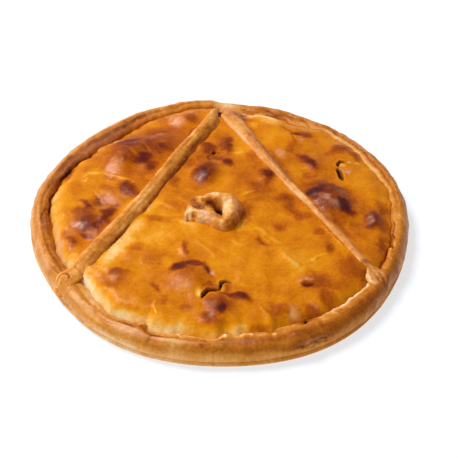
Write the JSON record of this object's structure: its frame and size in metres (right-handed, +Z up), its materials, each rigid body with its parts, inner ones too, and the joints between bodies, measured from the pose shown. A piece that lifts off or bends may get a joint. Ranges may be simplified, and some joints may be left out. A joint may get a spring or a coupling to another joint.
{
  "type": "empanada",
  "caption": "Large flat round filled pie of baked dough with a folded and rolled rim, rolled dough strips laid as a V on top, and a small dough loop.",
  "frame": {"origin": "middle of the flat underside, on the surface that the pie rests on", "axes": "+Z up out of the top crust, +Y towards the tip of the V of strips, +X to the right of someone who faces that tip"},
  "size_m": [0.3523, 0.3495, 0.047],
  "materials": {
    "rim_crust": "baked bread dough with a thin egg wash, golden brown, satin, darker along the crest of the rim",
    "top_crust": "baked dough under a glossy egg wash, amber, with dark brown blisters and pale creases",
    "strip_crust": "rolled dough baked golden, satin, with little egg wash",
    "loop_crust": "rolled dough baked pale golden with brown shoulders, satin"
  },
  "bodies": {
    "root": {"bottom_crust": "rim_crust", "top_crust": "top_crust", "strip_left": "strip_crust", "strip_right": "strip_crust", "dough_loop": "loop_crust"}
  },
  "joints": []
}
